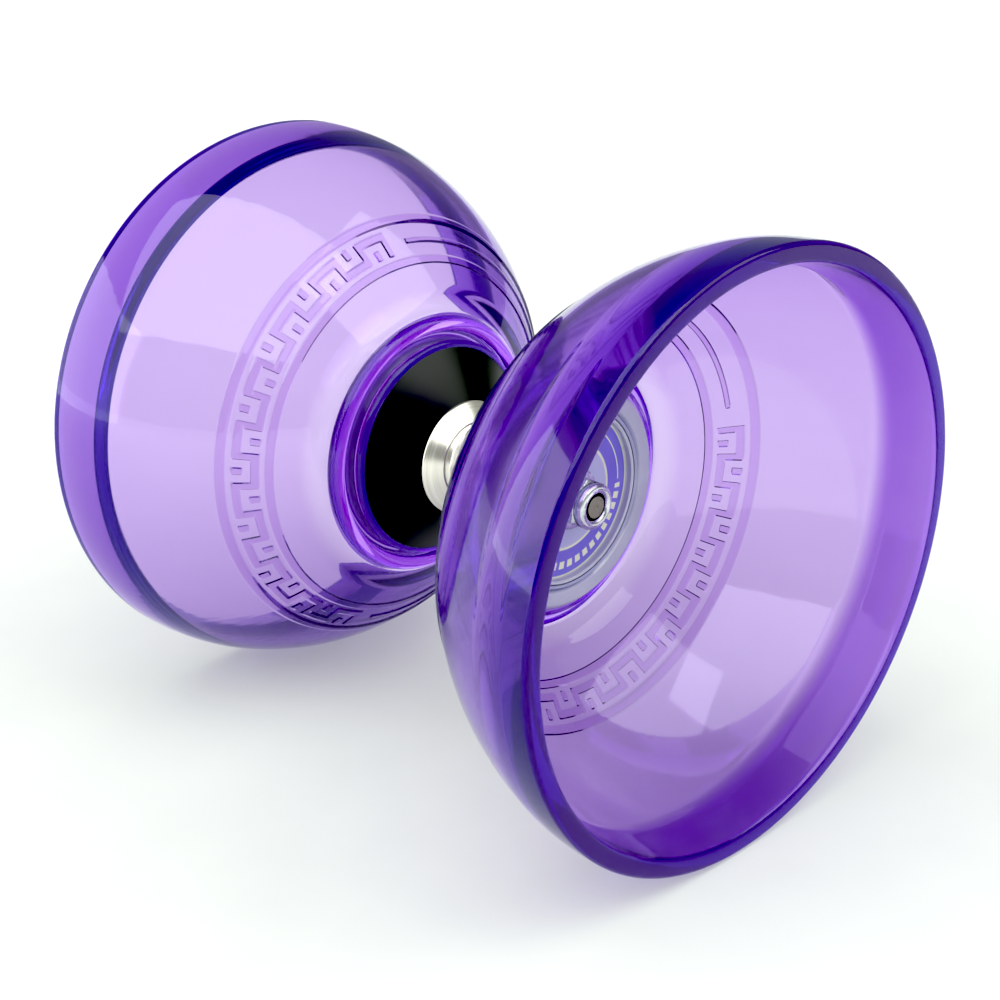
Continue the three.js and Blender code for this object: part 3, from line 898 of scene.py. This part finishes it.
def lock_nut(side, material):
    """A hexagon with chamfered corners and a round collar, bored for the rod and insert."""
    flats_end = NUT_HEX_HEIGHT - NUT_CHAMFER_LENGTH
    stations = NUT_START_X + np.concatenate(
        [
            np.linspace(0, NUT_CHAMFER_LENGTH, 9),
            np.linspace(NUT_CHAMFER_LENGTH, flats_end, 4)[1:-1],
            np.linspace(flats_end, NUT_HEX_HEIGHT, 9),
        ]
    )
    to_face = np.minimum(stations - NUT_START_X, NUT_HEX_END - stations)
    cone = NUT_FACE_RADIUS + to_face * NUT_CHAMFER_SLOPE
    angles = turns(144)
    corners = np.minimum(hexagon_radius(angles), NUT_CORNER_RADIUS)
    hexagon = np.minimum(corners[:, None], cone[None, :])
    rest = np.array(rounded(NUT_COLLAR_OUTLINE)[1:])
    rows = np.ones((len(angles), 1))
    xs = np.concatenate([rows * stations, rows * rest[:, 0]], axis=1)
    rs = np.concatenate([hexagon, rows * rest[:, 1]], axis=1)
    mesh = revolved(xs, rs, angles)
    return place(
        mesh,
        f"{side}_nut",
        f"{side}_lock_nut",
        material,
        side,
        sharp=NUT_SHARP_ANGLE,
    )


def nut_insert(side, material):
    """The nylon ring that grips the thread."""
    mesh = lathe(rounded(INSERT_OUTLINE), SMALL_TURNS)
    return place(mesh, f"{side}_insert_ring", f"{side}_nut_insert", material, side)


def washer(side, material):
    """A plain washer with its stamped edge rounded on one face."""
    mesh = lathe(rounded(WASHER_OUTLINE), SMALL_TURNS)
    return place(mesh, f"{side}_plain_washer", f"{side}_washer", material, side)


def rod(material):
    """The axle, with a rolled M6 thread at each end and a plain middle."""
    angles = turns(48)
    stations = np.arange(-ROD_HALF_LENGTH, ROD_HALF_LENGTH + THREAD_STEP / 2, THREAD_STEP)
    phase = (stations[None, :] / THREAD_PITCH - angles[:, None] / 360.0) % 1.0
    ridge = np.clip(THREAD_FLANK * (1.0 - np.abs(2.0 * phase - 1.0)), 0.0, 1.0)
    threaded = np.clip(np.abs(stations) - THREAD_START_X, 0.0, 1.0)
    radius = ROD_RADIUS - THREAD_DEPTH * (1.0 - ridge) * threaded[None, :]
    chamfer = ROD_RADIUS - ROD_CHAMFER + (ROD_HALF_LENGTH - np.abs(stations))
    radius = np.minimum(radius, chamfer[None, :])
    rows = np.ones((len(angles), 1))
    cap = np.array(ROD_END_RINGS)
    near_end = [rows * -ROD_HALF_LENGTH] * len(cap)
    far_end = [rows * ROD_HALF_LENGTH] * len(cap)
    xs = np.concatenate([*near_end, rows * stations, *far_end], axis=1)
    rs = np.concatenate([rows * cap, radius, rows * cap[::-1]], axis=1)
    mesh = revolved(xs, rs, angles, closed=False)
    return place(mesh, "threaded_axle", "axle_rod", material)


# ---- Ball bearings ----


def race_ring(side, which, wall, shoulder, material):
    """One ring of a ball bearing, with a round raceway sunk in its shoulder."""
    start, end = BEARING_START_X, BEARING_START_X + BEARING_WIDTH
    middle = (start + end) / 2
    sink = math.copysign(1.0, wall - shoulder)
    track = BALL_RADIUS + TRACK_GAP
    depth = abs(shoulder - BALL_PITCH_RADIUS)
    reach = math.acos(min(1.0, depth / track))
    arc = [
        (middle + track * math.sin(a), BALL_PITCH_RADIUS + sink * track * math.cos(a), 0)
        for a in np.linspace(reach, -reach, 13)
    ]
    outline = rounded(
        [(start, wall, 0.3), (end, wall, 0.3), (end, shoulder, 0.1), *arc, (start, shoulder, 0.1)]
    )
    mesh = lathe(outline, SMALL_TURNS)
    node = f"{side}_bearing_{which}_ring"
    return place(mesh, f"{side}_race_{which}", node, material, side)


def ball(side, number, material):
    """A bearing ball, where its CAD node is."""
    node = f"{side}_ball_{number}"
    low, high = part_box(node)
    mesh = bmesh.new()
    bmesh.ops.create_icosphere(
        mesh, subdivisions=4, radius=BALL_RADIUS * MM, matrix=Matrix.Translation((low + high) / 2)
    )
    return place(mesh, f"{side}_bearing_ball_{number}", node, material)


def shield(side, which, material):
    """A pressed steel shield over one face of a bearing."""
    node = f"{side}_{which}_shield"
    low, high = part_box(node)
    start, end = sorted((abs(low.x) / MM, abs(high.x) / MM))
    inner, outer = SHIELD_RADII
    corners = [(start, inner, 0.1), (start, outer, 0.1), (end, outer, 0.1), (end, inner, 0.1)]
    mesh = lathe(rounded(corners, steps=3), SMALL_TURNS)
    return place(mesh, f"{side}_{which}_cover", node, material, side)


# ---- Roller clutch ----


def clutch_shell(material):
    """The drawn cup of the one-way clutch, lipped at both ends."""
    mesh = lathe(rounded(CLUTCH_SHELL_OUTLINE, steps=4), SMALL_TURNS)
    return place(mesh, "clutch_cup", "clutch_shell", material)


def clutch_race(material):
    """The hardened sleeve that the rollers run on."""
    mesh = lathe(rounded(CLUTCH_RACE_OUTLINE), SMALL_TURNS)
    return place(mesh, "clutch_sleeve", "clutch_inner_race", material)


def clutch_roller(number, material):
    """A needle roller with crowned ends, where its CAD node is."""
    node = f"clutch_roller_{number}"
    low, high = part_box(node)
    middle = (low + high) / 2
    half = (high.x - low.x) / 2 / MM
    outline = rounded(
        [(-half, 0, 0), (-half, ROLLER_RADIUS, 0.25), (half, ROLLER_RADIUS, 0.25), (half, 0, 0)]
    )
    mesh = lathe(outline, 32, closed=False)
    mesh.transform(Matrix.Translation(middle))
    return place(mesh, f"needle_roller_{number}", node, material)


# ---- Assembly ----


def carry_over(node, material):
    """A CAD node whose shape stays, with its finished material."""
    piece = frame["nodes"][node]
    piece.data.materials.clear()
    piece.data.materials.append(material)
    return piece


def build():
    """Makes every piece of the diabolo."""
    purple = cup_plastic()
    black = hub_black()
    smoke = disc_smoke()
    polished = turned_steel("polished_steel", SLEEVE_STEEL, 0.2, 0.3)
    zinc = zinc_steel()
    bearing = turned_steel("bearing_steel", BEARING_STEEL, 0.12, 0.26)
    dark_nylon = nylon("nylon", DARK_NYLON)
    for side in ("right", "left"):
        cup(side, purple)
        hub(side, black)
        disc(side, smoke)
        washer(side, zinc)
        lock_nut(side, zinc)
        nut_insert(side, dark_nylon)
        race_ring(side, "inner", BORE, INNER_SHOULDER, bearing)
        race_ring(side, "outer", BEARING_RADIUS, OUTER_SHOULDER, bearing)
        shield(side, "inboard", bearing)
        shield(side, "outboard", bearing)
        for number in range(1, BALL_COUNT + 1):
            ball(side, number, bearing)
        carry_over(f"{side}_bearing_cage", dark_nylon)
    sleeve(polished)
    rod(axle_steel())
    clutch_shell(bearing)
    clutch_race(bearing)
    carry_over("clutch_cage", dark_nylon)
    for number in range(1, ROLLER_COUNT + 1):
        clutch_roller(number, bearing)


# ---- Stage, light and camera ----


def floor():
    """A plain pale floor under the two rims, which glows less near the toy as painted shade round
    it.
    """
    mesh = bmesh.new()
    bmesh.ops.create_circle(mesh, cap_ends=True, segments=64, radius=FLOOR_RADIUS)
    data = bpy.data.meshes.new("floor")
    mesh.to_mesh(data)
    mesh.free()
    shader = Shader("floor")
    grain = shader.noise(40)
    tone = shader.ramp(grain, "Fac", [(0.3, (0.49, 0.49, 0.495)), (0.7, (0.51, 0.51, 0.51))])
    shader.link(tone, "Color", shader.surface, "Base Color")
    shader.set(Roughness=0.8, Specular_IOR_Level=0.0, Emission_Strength=1.0)
    spot = shader.coordinates()
    across = shader.math("MULTIPLY", (spot, "X"), (spot, "X")), "Value"
    square = shader.math("MULTIPLY_ADD", (spot, "Y"), (spot, "Y"), across), "Value"
    distance = shader.math("SQRT", square)
    # The floor's glow, dimmer near the toy as painted shade under and round it
    painted_glow = [(far, tuple(level * c for c in FLOOR_TINT)) for far, level in FLOOR_GLOW_WITH_PAINTED_SHADE]
    glow_with_painted_shade = shader.ramp(distance, "Value", painted_glow)
    shader.link(glow_with_painted_shade, "Color", shader.surface, "Emission Color")
    data.materials.append(shader.material)
    piece = bpy.data.objects.new("floor", data)
    piece.location.z = -RIM_RADIUS * MM - FLOOR_DROP
    bpy.context.scene.collection.objects.link(piece)


def soft_light(name, azimuth, elevation, distance, size, radiance):
    """A soft box aimed at the toy, placed as the camera's angles are measured."""
    data = bpy.data.lights.new(name, "AREA")
    data.shape = "RECTANGLE"
    data.size, data.size_y = size
    data.energy = radiance * math.pi * size[0] * size[1]
    data.color = LIGHT_TINT
    lamp = bpy.data.objects.new(name, data)
    axes = view_axes(azimuth, elevation)
    lamp.matrix_world = facing(axes, axes[2] * distance)
    bpy.context.scene.collection.objects.link(lamp)


def view_axes(azimuth, elevation):
    """Right, up and back of a view, with azimuth 0 looking along +Y."""
    a, e = math.radians(azimuth), math.radians(elevation)
    across = Vector((math.cos(a), math.sin(a), 0.0))
    back = Vector((math.sin(a) * math.cos(e), -math.cos(a) * math.cos(e), math.sin(e)))
    return across, back.cross(across), back


def facing(axes, position):
    """The placing of a lamp or camera with the given right, up and back axes."""
    return Matrix.Translation(position) @ Matrix(axes).transposed().to_4x4()


def studio():
    """An even surround with soft boxes, and the camera."""
    world = bpy.data.worlds.new("studio")
    world.use_nodes = True
    surround = world.node_tree.nodes["Background"]
    surround.inputs["Color"].default_value = (*LIGHT_TINT, 1.0)
    path = world.node_tree.nodes.new("ShaderNodeLightPath")
    level = world.node_tree.nodes.new("ShaderNodeMapRange")
    level.inputs["To Min"].default_value = SURROUND
    level.inputs["To Max"].default_value = BACKGROUND
    world.node_tree.links.new(path.outputs["Is Camera Ray"], level.inputs["Value"])
    world.node_tree.links.new(level.outputs["Result"], surround.inputs["Strength"])
    scene = bpy.context.scene
    scene.world = world
    for light in LIGHTS:
        soft_light(*light)
    scene.view_settings.view_transform = "Standard"
    scene.view_settings.use_curve_mapping = True
    scene.view_settings.curve_mapping.black_level = (BLACK_LEVEL,) * 3
    scene.view_settings.curve_mapping.update()
    scene.cycles.max_bounces = 24
    scene.cycles.transmission_bounces = 24
    scene.cycles.glossy_bounces = 8

    camera = bpy.data.cameras.new("camera")
    camera.lens = CAMERA_LENS
    camera.clip_start = 0.01
    holder = bpy.data.objects.new("camera", camera)
    across, up, back = view_axes(CAMERA_AZIMUTH, CAMERA_ELEVATION)
    place_at = (across * CAMERA_ACROSS + up * CAMERA_UP + back * CAMERA_DISTANCE) * MM
    holder.matrix_world = facing((across, up, back), place_at)
    scene.collection.objects.link(holder)
    scene.camera = holder


build()
floor()
studio()
